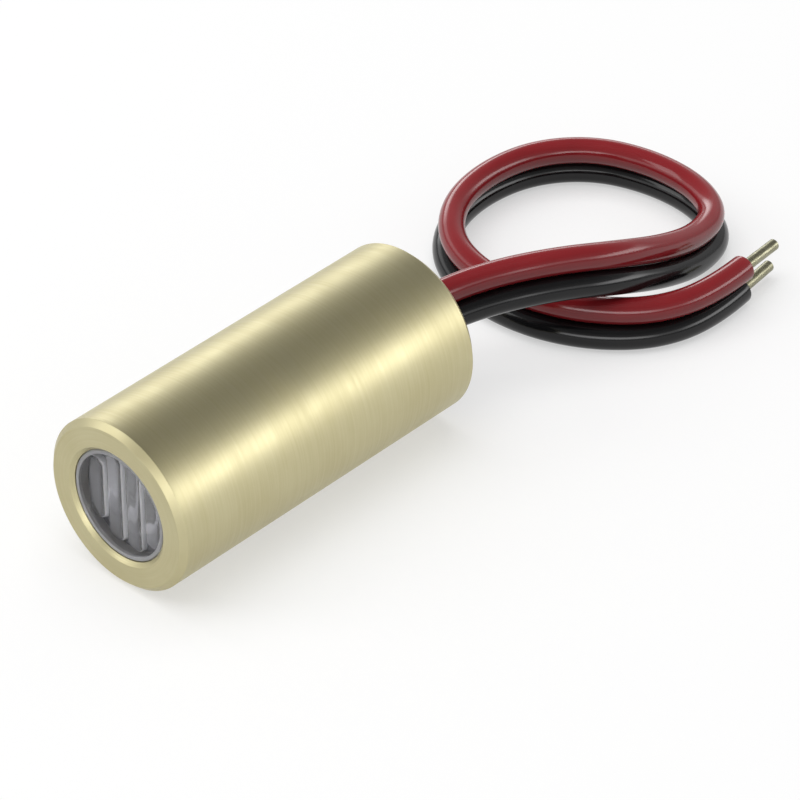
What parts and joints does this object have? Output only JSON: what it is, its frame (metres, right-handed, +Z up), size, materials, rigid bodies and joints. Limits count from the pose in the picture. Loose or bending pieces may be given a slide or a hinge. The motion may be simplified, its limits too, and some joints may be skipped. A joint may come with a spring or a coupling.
{
  "type": "laser diode module",
  "caption": "Cylindrical brass laser line module with a ribbed lens behind a round front window, and red and black supply leads with stripped ends.",
  "frame": {"origin": "on the floor under the middle of the barrel, which lies on its side", "axes": "+X along the barrel, the way the light leaves the front window; +Z up; the leads lie on the floor behind, towards -X"},
  "size_m": [0.0428, 0.0171, 0.009],
  "materials": {
    "barrel_brass": "satin, turned",
    "inner_brass": "as turned",
    "clear_plastic": "clear, polished",
    "optical_glass": "clear, polished",
    "satin_aluminium": "satin, as turned",
    "spring_steel": "bright",
    "plated_steel": "plated",
    "chip_grey": "smooth",
    "board_green": "solder mask",
    "black_epoxy": "moulded",
    "capacitor_tan": "fired",
    "trimmer_white": "moulded",
    "tinned_copper": "tinned",
    "potting_black": "cast",
    "red_insulation": "smooth, slightly glossy",
    "black_insulation": "smooth, slightly glossy"
  },
  "bodies": {
    "root": {"housing": "barrel_brass", "line_lens": "clear_plastic", "lens_spacer": "satin_aluminium", "collimator_cell": "satin_aluminium", "collimating_lens": "optical_glass", "lens_retainer": "satin_aluminium", "focus_spring": "spring_steel", "diode_sleeve": "inner_brass", "diode_stem": "plated_steel", "diode_cap": "plated_steel", "diode_window": "optical_glass", "laser_chip": "chip_grey", "monitor_photodiode": "chip_grey", "diode_leads": "plated_steel", "lead_seals": "optical_glass", "lock_ring": "inner_brass", "driver_board": "board_green", "driver_transistor": "black_epoxy", "transistor_legs": "tinned_copper", "capacitor": "capacitor_tan", "resistors": "black_epoxy", "trimmer": "trimmer_white", "trimmer_screw": "plated_steel", "solder_joints": "tinned_copper", "inner_wire_ends": "tinned_copper", "rear_plug": "potting_black", "red_wire": "red_insulation", "black_wire": "black_insulation", "red_bare_end": "tinned_copper", "black_bare_end": "tinned_copper"}
  },
  "joints": []
}
